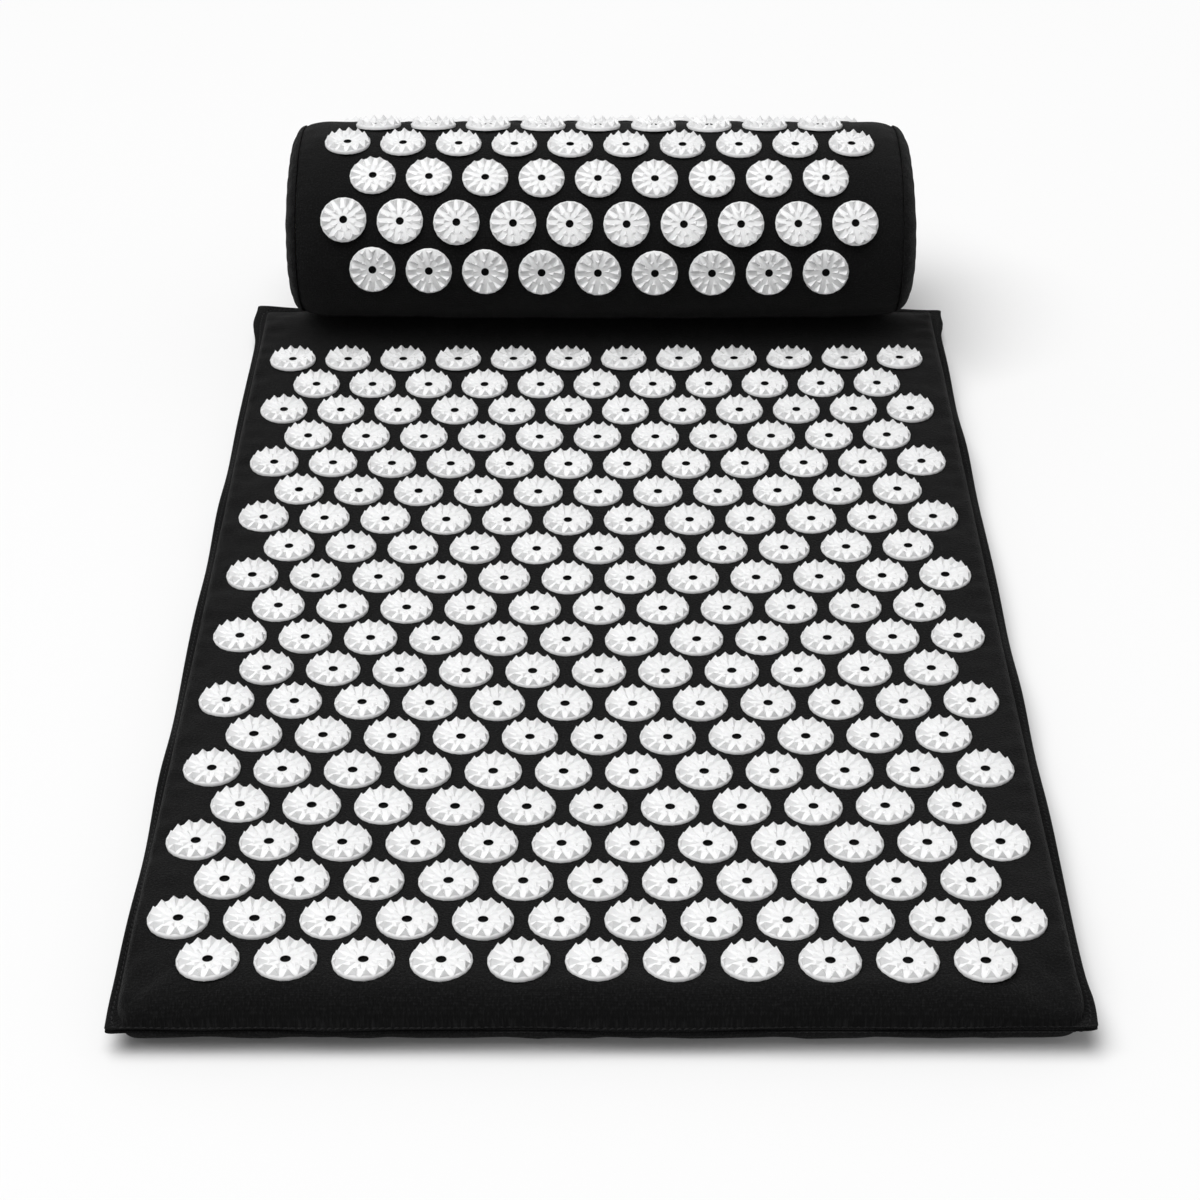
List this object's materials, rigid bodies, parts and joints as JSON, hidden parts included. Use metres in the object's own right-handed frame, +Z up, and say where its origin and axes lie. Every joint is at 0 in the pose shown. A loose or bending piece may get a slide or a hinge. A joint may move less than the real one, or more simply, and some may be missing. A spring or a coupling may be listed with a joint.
{
  "type": "acupressure mat",
  "caption": "Foam acupressure mat and barrel-shaped bolster pillow in canvas covers with rows of spiked plastic discs, each cover closed by a working coil zip.",
  "frame": {"origin": "on the floor, under the middle of the box round the mat and its pillow", "axes": "+X across the mat to the right seen from its near edge, +Y along the mat from its near edge to the pillow, +Z up"},
  "size_m": [0.424, 0.7172, 0.1382],
  "materials": {
    "black_canvas": "plain-woven matt cotton canvas",
    "pale_foam": "open-cell cushion foam",
    "white_plastic": "satin moulded plastic of the spiked discs",
    "black_tape": "closely woven zip tape",
    "black_nylon": "nylon monofilament coil",
    "black_zip_metal": "black lacquered die-cast zinc"
  },
  "bodies": {
    "mat": {"mat_top_panel": "black_canvas", "mat_bottom_panel": "black_canvas", "mat_foam_pad": "pale_foam", "mat_zip_tape_upper": "black_tape", "mat_zip_tape_lower": "black_tape", "mat_zip_coil_upper": "black_nylon", "mat_zip_coil_lower": "black_nylon", "mat_zip_top_stop_upper": "black_zip_metal", "mat_zip_top_stop_lower": "black_zip_metal", "mat_zip_bottom_stop": "black_zip_metal"},
    "mat_slider": {"mat_zip_slider": "black_zip_metal"},
    "mat_pull": {"mat_zip_pull": "black_zip_metal"},
    "pillow": {"pillow_disc_panel": "black_canvas", "pillow_base_panel": "black_canvas", "pillow_left_end": "black_canvas", "pillow_right_end": "black_canvas", "pillow_foam_core": "pale_foam", "pillow_zip_tape_upper": "black_tape", "pillow_zip_tape_lower": "black_tape", "pillow_zip_coil_upper": "black_nylon", "pillow_zip_coil_lower": "black_nylon", "pillow_zip_top_stop_upper": "black_zip_metal", "pillow_zip_top_stop_lower": "black_zip_metal", "pillow_zip_bottom_stop": "black_zip_metal"},
    "pillow_slider": {"pillow_zip_slider": "black_zip_metal"},
    "pillow_pull": {"pillow_zip_pull": "black_zip_metal"}
  },
  "joints": [
    {"name": "pillow_lift", "type": "slide", "parent": "mat", "child": "pillow", "axis": [0, 0, 1], "range_m": [0, 0.12]},
    {"name": "mat_zip_slide", "type": "slide", "parent": "mat", "child": "mat_slider", "axis": [1, 0, 0], "range_m": [0, 0.268]},
    {"name": "mat_pull_swing", "type": "hinge", "parent": "mat_slider", "child": "mat_pull", "pos_m": [-0.1345, 0.29363, 0.01201], "axis": [0, 0, 1], "range_deg": [0, 170]},
    {"name": "pillow_zip_slide", "type": "slide", "parent": "pillow", "child": "pillow_slider", "axis": [1, 0, 0], "range_m": [0, 0.208]},
    {"name": "pillow_pull_swing", "type": "hinge", "parent": "pillow_slider", "child": "pillow_pull", "pos_m": [-0.1045, 0.35298, 0.05359], "axis": [0, 0.5312, 0.8473], "range_deg": [0, 170]}
  ]
}
